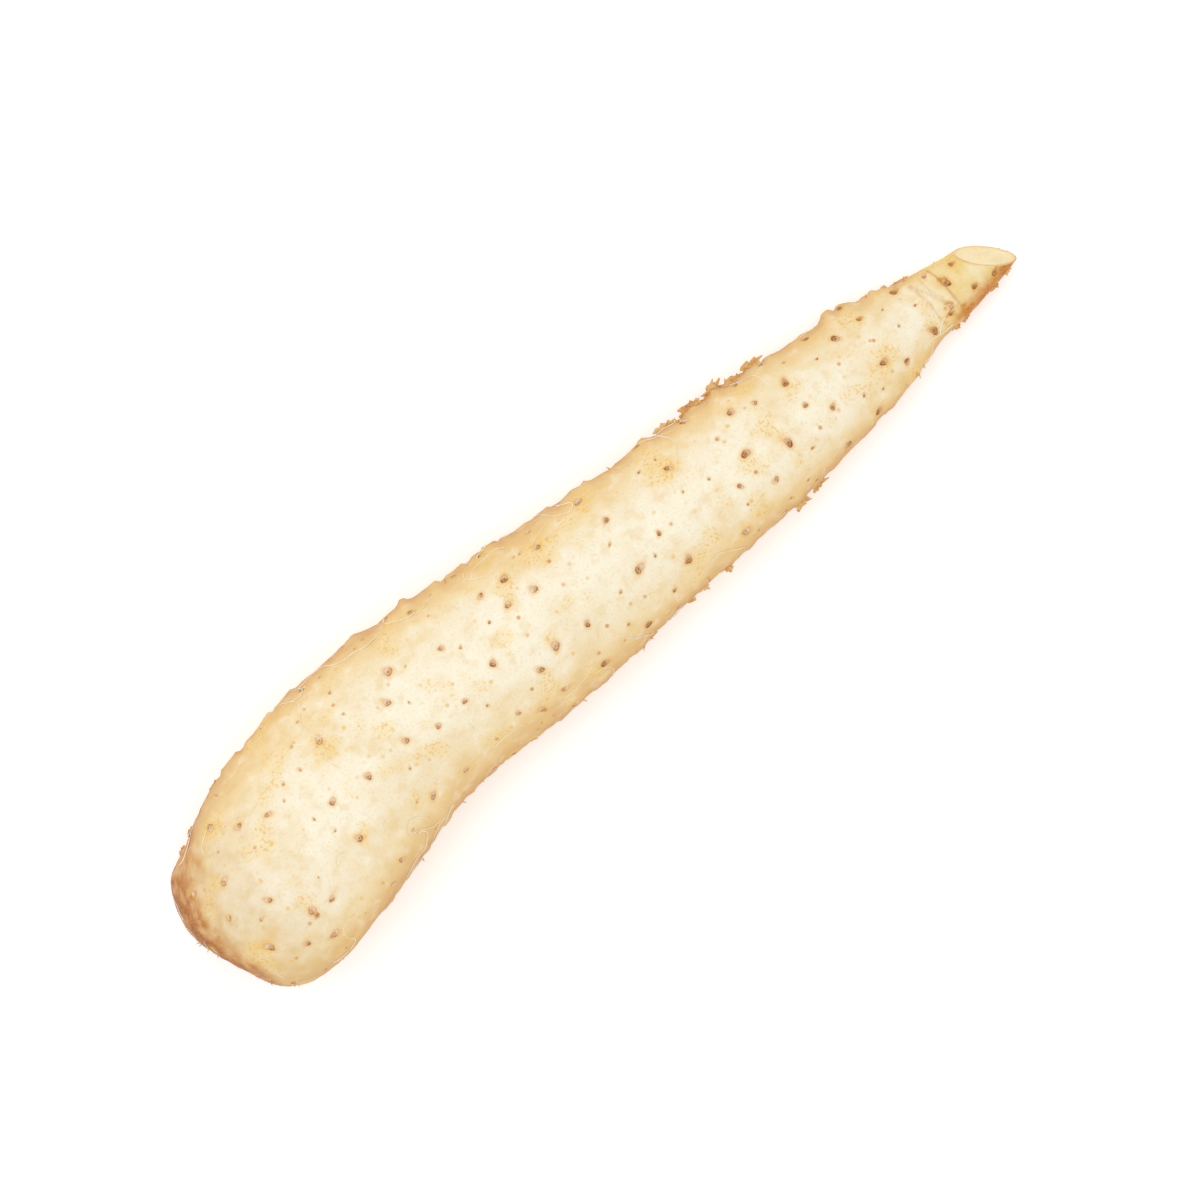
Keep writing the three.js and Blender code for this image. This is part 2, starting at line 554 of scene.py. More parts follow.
# %% [markdown]
# Where the neck leaves the body, the skin is drawn into a few fine wrinkles. Each is a short route across
# the neck, laid on the skin, and a narrow groove with soft lips is pressed in along it.

# %% Wrinkles
# They cross the neck side by side, and each slants and waves in its own way.
CREASES = 4
CREASE_SPACING = 2.7  # mm
CREASE_REACH = 11  # mm that a crease runs to each side of its middle
CREASE_SIDE = 3  # mm from y = 0 to the creases' middles, towards -Y
BEND = 31 * MM  # how far the bend lies from the cut's end of the box


def crease_places(number):
    """The route of one crease in mm: a slanting, wavy line across the neck."""
    start = (high.x - BEND) / MM - 4 + CREASE_SPACING * number
    across = np.linspace(CREASE_REACH, -CREASE_REACH, 7)
    slant = 0.22 * (CREASE_REACH - across)
    wave = 1.3 * np.sin(across / 5 + 2 * number)
    return np.stack([start + slant + wave, across - CREASE_SIDE], axis=1)


# Each wrinkle: its route, its depth and its width, in mm.
WRINKLES = [(crease_places(number), draw.uniform(0.08, 0.18), 0.4) for number in range(CREASES)]
LIFT = 0.35  # height of a wrinkle's lips, as a share of its depth


def route_on_skin(places, step=0.8 * MM):
    """A route through places in mm, laid on the skin, with a point at each step."""
    plan = np.array(places, float)
    length = np.concatenate([[0], np.cumsum(np.linalg.norm(np.diff(plan, axis=0), axis=1))]) * MM
    marks = np.linspace(0, length[-1], max(int(length[-1] / step), 2) + 1)
    spots = [drop_on_skin(np.interp(m, length, plan[:, 0]), np.interp(m, length, plan[:, 1])) for m in marks]
    return np.array([spot[0] for spot in spots]), np.array([spot[1] for spot in spots])


def distance_to_route(places, route):
    nearest = np.full(len(places), 1.0)
    for start, end in zip(route[:-1], route[1:]):
        run = end - start
        share = np.clip((places - start) @ run / max(run @ run, 1e-12), 0, 1)
        nearest = np.minimum(nearest, np.linalg.norm(places - start - share[:, None] * run, axis=1))
    return nearest


wrinkle = np.zeros(len(points))
for places, depth, width in WRINKLES:
    distance = distance_to_route(points, route_on_skin(places)[0]) / (width * MM)
    groove = np.exp(-(distance**2))
    lips = LIFT * np.exp(-((distance - 1.8) ** 2))
    points += normals * ((lips - groove) * depth * MM)[:, None]
    # The groove's strength, which the finish paints as shade.
    wrinkle = np.maximum(wrinkle, groove * min(1, depth / 0.22))
print("wrinkles:", len(WRINKLES))

# %% The finished form
ring = np.empty(len(points))
skin.data.attributes["ring"].data.foreach_get("value", ring)
on_cut = ring > rim_row + 0.5
FIBRE = 0.12 * MM  # a knife leaves the flesh slightly rough
from_middle = np.clip((rim_row + CUT_RINGS - ring[on_cut]) / 8, 0, 1)  # rings crowd at the middle
points[on_cut] += cut_normal * (draw.normal(size=on_cut.sum()) * FIBRE * 0.5 * from_middle)[:, None]
points[:, 2] = np.maximum(points[:, 2], 0)
move_points(skin, points)
make_active(skin)
bpy.ops.object.shade_smooth()
skin_tree = search_tree(skin)
print("skin box in mm:", np.round(np.ptp(points, axis=0) / MM, 1))

# %% [markdown]
# ## Marks that the finish will read
#
# The finish needs to know where each scar, wrinkle and stain is. Those are stored on the mesh as attributes,
# one number for each vertex, and the shader turns them into colour and roughness. Some also set painted
# light:
# the flank mark sets the painted shade of the flanks, the scar's side mark sets painted shade and a painted
# highlight in each pit, and the wrinkle mark sets painted shade in the grooves. They belong to the skin
# itself, so they stay in place from every side.

# %% Stains round the scars
def stains(share, smallest, largest, allowed):
    """Round stains beside a share of the scars: a strength up to 1 in their middles, fading to 0."""
    strength = np.zeros(len(points))
    for centre in scar_places[allowed & (draw.uniform(size=len(scar_places)) < share)]:
        centre = centre + draw.normal(size=3) * 1.3 * MM
        reach = draw.uniform(smallest, largest) * MM
        stain = np.exp(-((np.linalg.norm(points - centre, axis=1) / reach) ** 2))
        strength = np.maximum(strength, draw.uniform(0.5, 1) * stain)
    return strength


def store(name, values):
    skin.data.attributes.new(name, "FLOAT", "POINT").data.foreach_set("value", values.astype(np.float32))


smooth_normals = normals_of(skin)
of_upper_side = np.arange(len(scar_places)) < UPPER_SCARS
at_neck = scar_places[:, 0] > high.x - 36 * MM
stained = stains(0.22, 3, 8, of_upper_side)
bright = np.maximum(stains(0.2, 0.8, 1.8, of_upper_side), stains(0.5, 1.2, 2.4, at_neck))
bruised = np.maximum(stains(0.03, 1.2, 2.2, ~at_neck), stains(0.35, 1.2, 2.2, at_neck))
print("scars on the upper side:", of_upper_side.sum(), "and at the neck:", at_neck.sum())

# %% Attributes of the skin
END_SIDE = unit(np.array((-0.95, 0.15, -0.3)))  # which way the brown patch on the round end looks
END_FADE = (118 * MM, 172 * MM)  # the round end's tan grows between these distances towards -X
NECK_FADE = (137 * MM, 152 * MM)  # and the neck's yellow between these towards +X
brown = smooth_step(smooth_normals @ END_SIDE, 0.2, 0.8) * (points[:, 0] < low.x + DOME)
end_share = smooth_step(-points[:, 0], *END_FADE)
low_side = -np.array((math.sin(AXIS_TILT), math.cos(AXIS_TILT), 0))
cut_low = smooth_step((points - cut_centre) @ low_side, -3 * MM, 4 * MM)
neck_share = smooth_step(points[:, 0], *NECK_FADE)
rim_side = neck_share * smooth_step(-smooth_normals[:, 1] - 0.5 * smooth_normals[:, 2], -0.2, 0.65)
# How far the skin turns from facing up: the finish paints the flanks' shade by it.
flank = np.clip(1 - smooth_normals[:, 2], 0, 2)
for name, values in {
    "scar": scar, "scar_shade_side": scar_shade_side, "scar_tone": scar_tone, "wrinkle": wrinkle, "stained": stained,
    "brown": brown, "bruised": bruised, "bright": bright, "end": end_share, "neck": neck_share,
    "rim_side": rim_side, "flank": flank, "ring_share": ring - rim_row, "cut_low": cut_low,
}.items():
    store(name, values)
print("attributes:", [attribute.name for attribute in skin.data.attributes if attribute.domain == "POINT"])

# %% The cut's own faces
skin.data.materials.clear()
face_on_cut = [ring[list(face.vertices)].min() > rim_row - 0.01 for face in skin.data.polygons]
skin.data.polygons.foreach_set("material_index", np.array(face_on_cut, int))
print("faces on the cut:", sum(face_on_cut))

# %% A map for baking
# The sphere's own map gives every ring the same height. Here each ring gets the height that it has on the
# skin, so that a baked picture has the same grain everywhere.
bake_map = skin.data.uv_layers[0]
bake_map.name = "OFBake"
ring_steps = np.concatenate([
    np.full(DOME_RINGS, DOME * math.pi / 2 / DOME_RINGS),
    np.diff(ring_places),
    np.full(CUT_RINGS, 10 * MM / CUT_RINGS),
])
ring_heights = np.concatenate([[0], np.cumsum(ring_steps)])
uv = np.empty(len(bake_map.data) * 2)
bake_map.data.foreach_get("uv", uv)
uv = uv.reshape(-1, 2)
uv[:, 1] = 1 - np.interp((1 - uv[:, 1]) * ALONG, np.arange(ALONG + 1), ring_heights) / ring_heights[-1]
uv[:, 0] *= 0.98
bake_map.data.foreach_set("uv", uv.ravel())
print("map spans:", uv.min(axis=0), uv.max(axis=0))

# %% [markdown]
# ## Root hairs
#
# Hair-fine roots, 0.2 to 0.3 mm thick, cling to the skin. Each is a route laid on the skin, drawn as a thin
# round curve that tapers, and all are turned into one mesh. A route wanders: each step turns a little from
# the last. Long hairs start on the flanks and the edges.

# %% Routes of the root hairs
LONG_HAIRS = 30
SHORT_HAIRS = 46


def stray_route(start, length, step=1.3 * MM):
    """A route that wanders over the skin from a start."""
    place = Vector(start)
    heading = Vector(draw.normal(size=3))
    route = []
    swing = 0
    for _ in range(int(length / step)):
        place, normal = skin_tree.find_nearest(place)[:2]
        route.append((np.array(place), np.array(normal)))
        heading = (heading - normal * heading.dot(normal)).normalized()
        swing = 0.8 * swing + draw.normal() * 0.16
        heading = (heading + heading.cross(normal) * swing).normalized()
        place = place + heading * step
    return route


hair_ground = (scar > 1) & (ring < rim_row - 30)
upper_flank = np.flatnonzero(hair_ground & (smooth_normals[:, 2] > -0.2) & (smooth_normals[:, 2] < 0.6))
hair_routes = []
for start in draw.permutation(upper_flank)[:LONG_HAIRS]:
    hair_routes.append(stray_route(points[start], draw.uniform(14, 42) * MM))
for start in draw.permutation(np.flatnonzero(hair_ground))[:SHORT_HAIRS]:
    hair_routes.append(stray_route(points[start], draw.uniform(7, 24) * MM))
print("root hairs:", len(hair_routes))

# %% Curves along the routes, made one mesh
hair_curve = bpy.data.curves.new("root_hairs", "CURVE")
hair_curve.dimensions = "3D"
hair_curve.bevel_depth = 1
hair_curve.bevel_resolution = 1
hair_curve.use_fill_caps = True
for number, route in enumerate(hair_routes):
    thickness = (draw.uniform(0.11, 0.16) if number < LONG_HAIRS else draw.uniform(0.08, 0.13)) * MM
    spline = hair_curve.splines.new("POLY")
    spline.points.add(len(route) - 1)
    ripple = draw.uniform(0, 6)
    for step, (place, normal) in enumerate(route):
        share = step / (len(route) - 1)
        lift = thickness * (0.7 + 0.6 * math.sin(ripple + step * 0.7) ** 2)
        spline.points[step].co = (*(place + normal * lift), 1)
        spline.points[step].radius = thickness * (1 - 0.55 * share)
hairs = bpy.data.objects.new("root_hairs", hair_curve)
bpy.context.collection.objects.link(hairs)
make_active(hairs)
bpy.ops.object.convert(target="MESH")
hairs = bpy.context.object
bpy.ops.object.shade_smooth()
hair_points = points_of(hairs)
hair_points[:, 2] = np.maximum(hair_points[:, 2], 0.02 * MM)
move_points(hairs, hair_points)
print("root hair faces:", len(hairs.data.polygons))

# %% [markdown]
# ## Flakes of cork and root stubs
#
# The outer skin dies, dries and comes off in thin brown flakes, mostly along the flanks. Broken roots leave
# short brown stubs. A flake starts as a small disc: its edge is torn by moving points in and out, it is
# curled up a little, and Solidify gives it a thickness. A stub is a cone, bent over. Both are copied to
# their places on the skin.

# %% One flake and one stub
def make_flake(number, size):
    """A torn, curled disc of cork of about this width, lying on z = 0."""
    bpy.ops.object.select_all(action="DESELECT")
    bpy.ops.mesh.primitive_circle_add(vertices=14, radius=size / 2, fill_type="TRIFAN")
    flake = bpy.context.object
    flake.name = f"flake_{number}"
    bpy.ops.object.mode_set(mode="EDIT")
    bpy.ops.mesh.select_all(action="SELECT")
    bpy.ops.mesh.subdivide(number_cuts=1)
    bpy.ops.object.mode_set(mode="OBJECT")
    spots = points_of(flake)
    reach = np.hypot(spots[:, 0], spots[:, 1]) / (size / 2)
    angle = np.arctan2(spots[:, 1], spots[:, 0])
    torn = 1 + 0.22 * np.sin(3 * angle + number) + 0.2 * np.sin(7 * angle + 2 * number)
    spots[:, :2] *= (torn * (1 + 0.12 * draw.normal(size=len(spots)) * (reach > 0.9)))[:, None]
    spots[:, 0] *= draw.uniform(1.0, 1.7)
    curl = draw.uniform(0.05, 0.18)
    spots[:, 2] = size * curl * (spots[:, 0] / size + 0.3) ** 2 + draw.normal(size=len(spots)) * size * 0.02
    move_points(flake, spots)
    apply_modifier(flake, "SOLIDIFY", {"thickness": 0.22 * MM, "offset": 0})
    return flake


def make_stub(number, size):
    """A short broken root of this length, standing on z = 0 and bent over."""
    bpy.ops.object.select_all(action="DESELECT")
    bpy.ops.mesh.primitive_cone_add(
        vertices=7, radius1=size * 0.24, radius2=size * 0.07, depth=size, location=(0, 0, size * 0.4))
    stub = bpy.context.object
    stub.name = f"stub_{number}"
    bpy.ops.object.transform_apply(location=True, rotation=False, scale=False)
    bpy.ops.object.mode_set(mode="EDIT")
    bpy.ops.mesh.select_all(action="SELECT")
    bpy.ops.mesh.subdivide(number_cuts=1)
    bpy.ops.object.mode_set(mode="OBJECT")
    spots = points_of(stub)
    spots[:, 0] += 0.5 * spots[:, 2] ** 2 / size * draw.uniform(0.4, 1.4)
    spots += draw.normal(size=spots.shape) * size * 0.03
    move_points(stub, spots)
    return stub


def set_down(piece, place, normal, sink, upwards=0.0):
    """Moves a piece's points to a place on the skin, standing on the skin with a random turn. Where upwards
    isn't 0, the piece is a scale that peels off: it leans up by that much, and lies along the tuber."""
    turn_angle = draw.uniform(-0.5, 0.5) if upwards else draw.uniform(0, 2 * math.pi)
    along = Vector((math.cos(turn_angle), math.sin(turn_angle), 0))
    normal = (Vector(normal).normalized() + Vector((0, 0, upwards))).normalized()
    along = (along - normal * along.dot(normal)).normalized()
    across = normal.cross(along)
    axes = np.array((along, across, normal))
    move_points(piece, points_of(piece) @ axes + place - np.array(normal) * sink)


# %% Flakes and stubs in their places
# Rows of scales that peel off an edge: from and to as shares of the length, +Y edge (1) or -Y edge (-1),
# how many there are, and their size in mm.
SCALE_ROWS = [
    (0.64, 0.75, 1, 11, 4.0), (0.56, 0.60, -1, 3, 3.4), (0.70, 0.72, -1, 2, 3.8), (0.89, 0.91, 1, 3, 2.0),
    (0.91, 0.93, -1, 2, 2.2), (0.97, 0.99, -1, 2, 2.2), (0.04, 0.06, 1, 2, 2.6),
]
UPWARDS = 1.3  # how far these scales lean up
STRAY_FLAKES = 18
STRAY_STUBS = 44

trims = []
normals = normals_of(skin)
spots_for_flakes = []
for start, end, edge, count, size in SCALE_ROWS:
    for share in np.linspace(start, end, count):
        index = edge_point(share, edge)
        place, normal = Vector(points[index]), Vector(normals[index])
        spots_for_flakes.append((place, normal, size * draw.uniform(0.8, 1.15)))
SCALES = len(spots_for_flakes)
low_flank = np.flatnonzero((np.abs(normals[:, 2]) < 0.45) & (ring < rim_row - 12) & (scar > 1.5))
for index in draw.permutation(low_flank)[:STRAY_FLAKES]:
    spots_for_flakes.append((Vector(points[index]), Vector(normals[index]), draw.uniform(1.2, 2.6)))
for number, (place, normal, size) in enumerate(spots_for_flakes):
    flake = make_flake(number, size * MM)
    peels = number < SCALES
    set_down(flake, np.array(place), normal, 0.05 * MM, UPWARDS if peels else 0.0)
    trims.append(flake)
for number, index in enumerate(draw.permutation(low_flank)[:STRAY_STUBS]):
    stub = make_stub(number, draw.uniform(0.7, 1.8) * MM)
    set_down(stub, points[index], normals[index], 0.1 * MM)
    trims.append(stub)

bpy.ops.object.select_all(action="DESELECT")
for trim in trims:
    trim.select_set(True)
bpy.context.view_layer.objects.active = trims[0]
bpy.ops.object.join()
flakes = bpy.context.object
flakes.name = flakes.data.name = "skin_flakes"
flake_points = points_of(flakes)
flake_points[:, 2] = np.maximum(flake_points[:, 2], 0.02 * MM)
move_points(flakes, flake_points)
print("flakes and stubs:", len(trims), "faces:", len(flakes.data.polygons))

# %% [markdown]
# ## Finishes
#
# Periderm, the yam's skin, is a few layers of pale dead cells. It is matt with a faint waxy gloss, lets a
# little light in, and is cream where it is clean. Towards the flanks it is painted tan: partly the skin's own
# tan, partly painted shade of the flanks, which turn away from the overhead light. All its patterns are
# worked out from sizes in millimetres on the piece's own coordinates, so nothing slides or stretches.

# %% One function adds a node
def add_node(tree, kind, output, settings=(), links=()):
    """Adds a node, with its settings and what goes into its sockets: a value or another node's output.
    Returns the output named or numbered."""
    node = tree.nodes.new(kind)
    for name, value in dict(settings).items():
        setattr(node, name, value)
    for socket, value in dict(links).items():
        if isinstance(value, bpy.types.NodeSocket):
            tree.links.new(value, node.inputs[socket])
        else:
            node.inputs[socket].default_value = value
    return node.outputs[output]


def new_finish(name, roughness, ior):
    """A material with a principled shader, whose even values are set here."""
    finish = bpy.data.materials.new(name)
    finish.use_nodes = True
    shader = finish.node_tree.nodes["Principled BSDF"]
    shader.inputs["Roughness"].default_value = roughness
    shader.inputs["IOR"].default_value = ior
    return finish, finish.node_tree, shader


SMOOTH = {"interpolation_type": "SMOOTHSTEP"}
COLOUR_MIX = {"data_type": "RGBA"}
MULTIPLY_ADD = {"operation": "MULTIPLY_ADD"}


def add_noise(grain, detail):
    """Cloud noise with this size of grain in mm, on the own coordinates of the piece in hand."""
    links = {"Vector": place, "Scale": 1 / (grain * MM), "Detail": detail}
    return add_node(tree, "ShaderNodeTexNoise", 0, {}, links)


# %% Yam periderm: painted shade on the flanks, and the mottling
# Each stop: how far the skin has turned from facing up (0) through upright (1) to facing down (2). The tan
# that grows with this turn is painted shade of the flanks, partly the skin's own tan.
FLANK_SHADE_COLOURS = [
    (0.00, "f4ebd3"), (0.13, "f2e4c6"), (0.29, "efd8ab"), (0.45, "e8c68b"), (0.62, "deb273"),
    (0.85, "cd9653"), (1.20, "c4904f"), (2.00, "cda26c"),
]

periderm, tree, shader = new_finish("yam_periderm", 0.52, 1.42)
shader.inputs["Subsurface Weight"].default_value = 0.12
shader.inputs["Subsurface Radius"].default_value = (1.0, 0.6, 0.3)
shader.inputs["Subsurface Scale"].default_value = 2.0 * MM
shader.inputs["Specular IOR Level"].default_value = 0.35
place = add_node(tree, "ShaderNodeTexCoord", "Object")
mark = {
    name: add_node(tree, "ShaderNodeAttribute", "Fac", {"attribute_name": name})
    for name in (
        "scar", "scar_shade_side", "scar_tone", "wrinkle", "stained", "brown", "bruised", "bright", "end", "neck",
        "rim_side", "flank")
}
broad = add_noise(24, 3.0)
middling = add_noise(5, 4.0)
grainy = add_noise(0.9, 3.0)

# The skin's turn, roughened by noise, picks the painted shade colour of the flanks.
shade_turn = add_node(tree, "ShaderNodeMath", 0, MULTIPLY_ADD, {0: middling, 1: 0.16, 2: mark["flank"]})
shade_turn = add_node(tree, "ShaderNodeMath", 0, MULTIPLY_ADD, {0: broad, 1: 0.3, 2: shade_turn})
share = add_node(tree, "ShaderNodeMapRange", 0, {}, {"Value": shade_turn, "From Min": 0.23, "From Max": 2.23})
ramp = tree.nodes.new("ShaderNodeValToRGB")
stops = ramp.color_ramp.elements
stops[0].position, stops[0].color = 0, hex_colour(FLANK_SHADE_COLOURS[0][1])
stops[1].position, stops[1].color = 1, hex_colour(FLANK_SHADE_COLOURS[-1][1])
for turned_by, colour in FLANK_SHADE_COLOURS[1:-1]:
    stops.new(turned_by / 2).color = hex_colour(colour)
tree.links.new(share, ramp.inputs[0])
colour = ramp.outputs[0]

# %% Layers of colour
def lay_over(below, amount, above):
    """Lays a colour over another by an amount between 0 and 1."""
    above = hex_colour(above) if isinstance(above, str) else above
    return add_node(tree, "ShaderNodeMix", 2, COLOUR_MIX, {0: amount, 6: below, 7: above})


def rise(value, start, end, low_value=0.0, high_value=1.0):
    """A smooth rise of a value, or a fall where the low value is the higher."""
    return add_node(tree, "ShaderNodeMapRange", 0, SMOOTH, {
        "Value": value, "From Min": start, "From Max": end, "To Min": low_value, "To Max": high_value})


def times(first, second):
    return add_node(tree, "ShaderNodeMath", 0, {"operation": "MULTIPLY"}, {0: first, 1: second})


colour = lay_over(colour, rise(broad, 0.5, 0.72, 0, 0.3), "e6cd99")
colour = lay_over(colour, rise(middling, 0.5, 0.72, 0, 0.34), "e4c486")
clean = times(rise(middling, 0.46, 0.28, 0, 0.26), rise(mark["flank"], 0.3, 0.9, 1, 0.35))
colour = lay_over(colour, clean, "faf4e4")
colour = lay_over(colour, rise(grainy, 0.5, 0.75, 0, 0.32), "dfbe84")
colour = lay_over(colour, times(mark["neck"], rise(middling, 0.3, 0.7, 0.5, 0.9)), "e8cb80")
colour = lay_over(colour, times(mark["end"], rise(middling, 0.3, 0.7, 0.5, 0.75)), "d3b27a")
colour = lay_over(colour, times(mark["stained"], rise(middling, 0.35, 0.65, 0.15, 0.6)), "ebbb55")

# %% Freckles and round spots
patches = add_noise(11, 1.0)
patches = add_node(tree, "ShaderNodeMath", 0, MULTIPLY_ADD, {0: mark["stained"], 1: 0.22, 2: patches})
freckled = add_noise(0.9, 1.0)
colour = lay_over(colour, rise(patches, 0.52, 0.74, 0, 0.42), "efd08a")
freckles = times(rise(patches, 0.56, 0.72), rise(freckled, 0.52, 0.68, 0, 0.5))
colour = lay_over(colour, freckles, "e0a848")

SPOTS = [
    # spacing in mm, radius as a share of it, colour, strength
    (6.2, 0.17, "d08c2e", 0.85),
    (5.0, 0.21, "e8bd66", 0.8),
]
for spacing, radius, tint, strength in SPOTS:
    cells = tree.nodes.new("ShaderNodeTexVoronoi")
    cells.inputs["Scale"].default_value = 1 / (spacing * MM)
    tree.links.new(place, cells.inputs["Vector"])
    lot = add_node(tree, "ShaderNodeSeparateColor", "Red", {}, {"Color": cells.outputs["Color"]})
    spot = times(rise(cells.outputs["Distance"], radius, radius * 0.3), rise(lot, 0.3, 0.9, 0, strength))
    colour = lay_over(colour, spot, tint)

# %% Orange marks and brown bruises
blotchy = add_noise(2.4, 3.0)
ragged = rise(blotchy, 0.38, 0.62, 0.35, 1.5)
colour = lay_over(colour, rise(times(mark["bright"], ragged), 0.3, 0.85, 0, 0.85), "e0962a")
colour = lay_over(colour, rise(times(mark["bright"], ragged), 0.85, 1.3, 0, 0.7), "b0640e")
colour = lay_over(colour, rise(times(mark["bruised"], ragged), 0.25, 0.8, 0, 0.72), "c07a2c")
colour = lay_over(colour, rise(times(mark["bruised"], ragged), 0.6, 1.2, 0, 0.8), "7f430f")

# %% Brown end and orange rim
browned = times(mark["brown"], rise(middling, 0.25, 0.7, 0.6, 1.3))
colour = lay_over(colour, rise(browned, 0.0, 0.9, 0, 0.88), "c1762a")
colour = lay_over(colour, times(rise(browned, 0.45, 1.1, 0, 0.8), rise(grainy, 0.35, 0.65, 0.4, 1)), "874c1d")
rimmed = times(mark["rim_side"], rise(middling, 0.25, 0.7, 0.6, 1.3))
colour = lay_over(colour, rise(rimmed, 0.0, 0.9, 0, 0.88), "cb7c20")
colour = lay_over(colour, times(rise(rimmed, 0.6, 1.1, 0, 0.6), rise(grainy, 0.45, 0.65)), "8a5226")

# %% Scars and wrinkles, with painted shade and painted highlights
wobble = add_noise(0.7, 2.0)
away = add_node(tree, "ShaderNodeMath", 0, MULTIPLY_ADD, {0: wobble, 1: 0.8, 2: mark["scar"]})
away = add_node(tree, "ShaderNodeMath", 0, {"operation": "SUBTRACT"}, {0: away, 1: 0.4})
# Painted shade on one side of each pit and a painted highlight on the other, set by the scar's side mark.
pit_shade = rise(mark["scar_shade_side"], -0.25, 0.5)
pit_highlight = rise(mark["scar_shade_side"], 0.1, -0.6)
broken = rise(wobble, 0.35, 0.6, 0.25, 1)
ring_brown = lay_over(hex_colour("bd7a30"), rise(mark["scar_tone"], 0.25, 0.85), "cf9a5c")
# The dark brown of the shaded crescent and of the pit's middle, which carry painted shade.
pit_shade_brown = lay_over(hex_colour("7c3e08"), rise(mark["scar_tone"], 0.3, 0.9), "aa6a2e")
plug = lay_over(hex_colour("c18c50"), rise(mark["scar_tone"], 0.1, 0.7), "e2c5a0")
on_ring = times(rise(away, 1.15, 0.92), rise(away, 0.55, 0.8))
colour = lay_over(colour, rise(away, 2.4, 1.0, 0, 0.45), "e4b059")
colour = lay_over(colour, rise(away, 1.3, 0.8, 0, 0.72), ring_brown)
colour = lay_over(colour, rise(away, 0.9, 0.5, 0, 0.8), plug)
# A broken dark crescent on the pit's shaded side: painted shade.
colour = lay_over(colour, times(on_ring, times(pit_shade, broken)), pit_shade_brown)
# The pit's middle painted darkest: painted shade in the pit, over the scar's own brown.
colour = lay_over(colour, times(rise(away, 0.6, 0.25, 0, 0.8), broken), pit_shade_brown)
# A pale painted highlight on the pit's lit side, weaker where the scar's tone is dark.
pit_highlight = times(pit_highlight, rise(mark["scar_tone"], 0.05, 0.5, 0.15, 0.5))
colour = lay_over(colour, times(rise(away, 1.05, 0.7), pit_highlight), "f3e3d6")
# Painted shade along the wrinkles' grooves, in orange-brown.
crease_shade = times(mark["wrinkle"], rise(middling, 0.3, 0.6, 0.4, 0.8))
colour = lay_over(colour, crease_shade, "be7a2c")
tree.links.new(colour, shader.inputs["Base Color"])

# %% Gloss and fine relief of the periderm
roughness = rise(middling, 0.3, 0.7, 0.46, 0.62)
tree.links.new(roughness, shader.inputs["Roughness"])
pores = add_node(tree, "ShaderNodeTexVoronoi", "Distance", {}, {"Vector": place, "Scale": 1 / (0.7 * MM)})
height = add_node(tree, "ShaderNodeMath", 0, MULTIPLY_ADD, {0: pores, 1: 0.5, 2: grainy})
height = add_node(tree, "ShaderNodeMath", 0, MULTIPLY_ADD, {0: middling, 1: 1.6, 2: height})
bump = add_node(tree, "ShaderNodeBump", 0, {}, {"Strength": 0.4, "Distance": 0.3 * MM, "Height": height})
tree.links.new(bump, shader.inputs["Normal"])
print("periderm nodes:", len(tree.nodes))

# %% [markdown]
# The cut shows the yam's flesh: ivory, moist when fresh and a little rough once it has dried, with a darker
# line under the skin. Root fibre is pale and slightly see-through at its edges. Cork is brown, matt and
# streaky.

# %% Cut yam flesh
flesh, tree, shader = new_finish("cut_yam_flesh", 0.45, 1.4)
shader.inputs["Subsurface Weight"].default_value = 0.2
shader.inputs["Subsurface Radius"].default_value = (1.0, 0.7, 0.4)
shader.inputs["Subsurface Scale"].default_value = 2.5 * MM
place = add_node(tree, "ShaderNodeTexCoord", "Object")
inwards = add_node(tree, "ShaderNodeAttribute", "Fac", {"attribute_name": "ring_share"})
grainy = add_noise(0.8, 3.0)
colour = lay_over(hex_colour("f9e5b6"), rise(grainy, 0.42, 0.75, 0, 0.45), "eecb88")
colour = lay_over(colour, rise(inwards, 5.0, 1.0, 0, 0.4), "e8cb8c")
low_side = add_node(tree, "ShaderNodeAttribute", "Fac", {"attribute_name": "cut_low"})
colour = lay_over(colour, times(rise(inwards, 2.0, 0.2), rise(low_side, 0, 1, 0.25, 0.9)), "c98732")
tree.links.new(colour, shader.inputs["Base Color"])
bump = add_node(tree, "ShaderNodeBump", 0, {}, {"Strength": 0.4, "Distance": 0.2 * MM, "Height": grainy})
tree.links.new(bump, shader.inputs["Normal"])

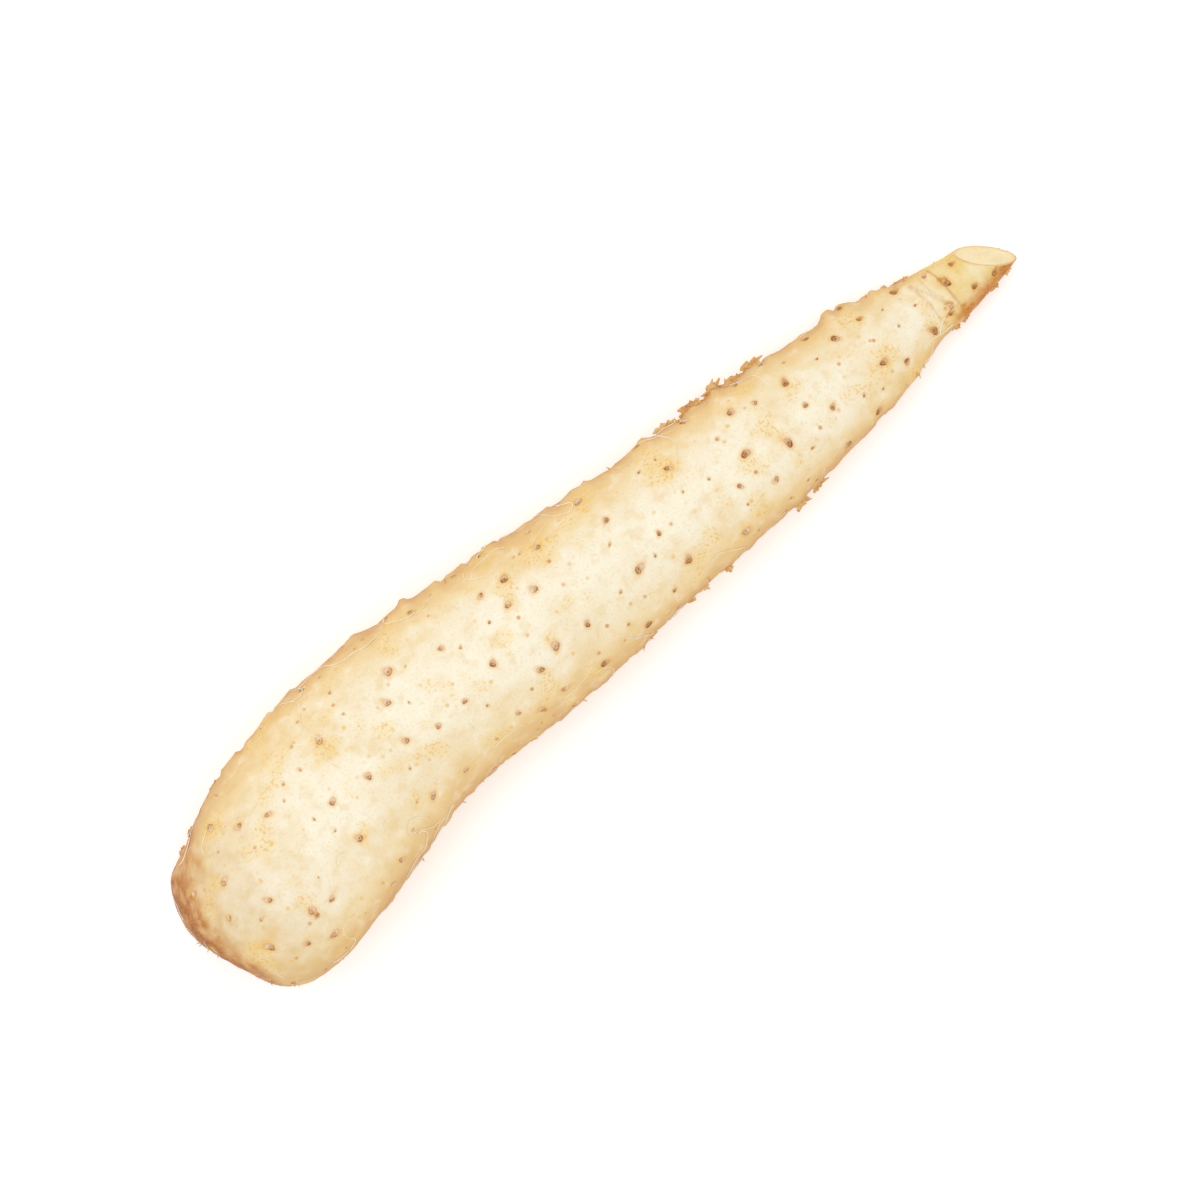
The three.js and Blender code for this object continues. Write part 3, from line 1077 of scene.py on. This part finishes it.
# %% Root fibre
fibre, tree, shader = new_finish("root_fibre", 0.55, 1.45)
shader.inputs["Subsurface Weight"].default_value = 0.2
shader.inputs["Subsurface Scale"].default_value = 0.4 * MM
place = add_node(tree, "ShaderNodeTexCoord", "Object")
patchy = add_noise(6, 3.0)
colour = lay_over(hex_colour("fbf5e6"), rise(patchy, 0.46, 0.75), "e6d0a6")
tree.links.new(colour, shader.inputs["Base Color"])

# %% Flaking cork
cork, tree, shader = new_finish("flaking_cork", 0.75, 1.4)
place = add_node(tree, "ShaderNodeTexCoord", "Object")
streaky = add_noise(1.1, 4.0)
patchy = add_noise(14, 2.0)
colour = lay_over(hex_colour("cd9656"), rise(patchy, 0.35, 0.65), "deb477")
colour = lay_over(colour, rise(streaky, 0.48, 0.75, 0, 0.7), "ebcd9b")
colour = lay_over(colour, rise(streaky, 0.46, 0.3, 0, 0.45), "8f5a2a")
tree.links.new(colour, shader.inputs["Base Color"])
bump = add_node(tree, "ShaderNodeBump", 0, {}, {"Strength": 0.5, "Distance": 0.2 * MM, "Height": streaky})
tree.links.new(bump, shader.inputs["Normal"])

# %% Finishes on their pieces
skin.data.materials.append(periderm)
skin.data.materials.append(flesh)
hairs.data.materials.append(fibre)
flakes.data.materials.append(cork)
print("materials:", [material.name for material in bpy.data.materials])

# %% [markdown]
# ## Floor, and the pieces joined to the frame
#
# The yam lies on a plain white light table, which glows faintly and so keeps its own shadows pale. The
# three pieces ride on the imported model's one body, and the new skin stands for its plain tuber.

# %% Floor
bpy.ops.object.select_all(action="DESELECT")
bpy.ops.mesh.primitive_plane_add(size=8, location=(0, 0, 0))
floor = bpy.context.object
floor.name = "floor"
white, tree, shader = new_finish("white_acrylic", 0.9, 1.45)
shader.inputs["Base Color"].default_value = hex_colour("f8f8f8")
shader.inputs["Specular IOR Level"].default_value = 0.1
shader.inputs["Emission Color"].default_value = (1, 1, 1, 1)
shader.inputs["Emission Strength"].default_value = 0.22
floor.data.materials.append(white)

# %% Pieces and bodies
for piece in (skin, hairs, flakes):
    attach(piece, "root")
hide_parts("tuber")
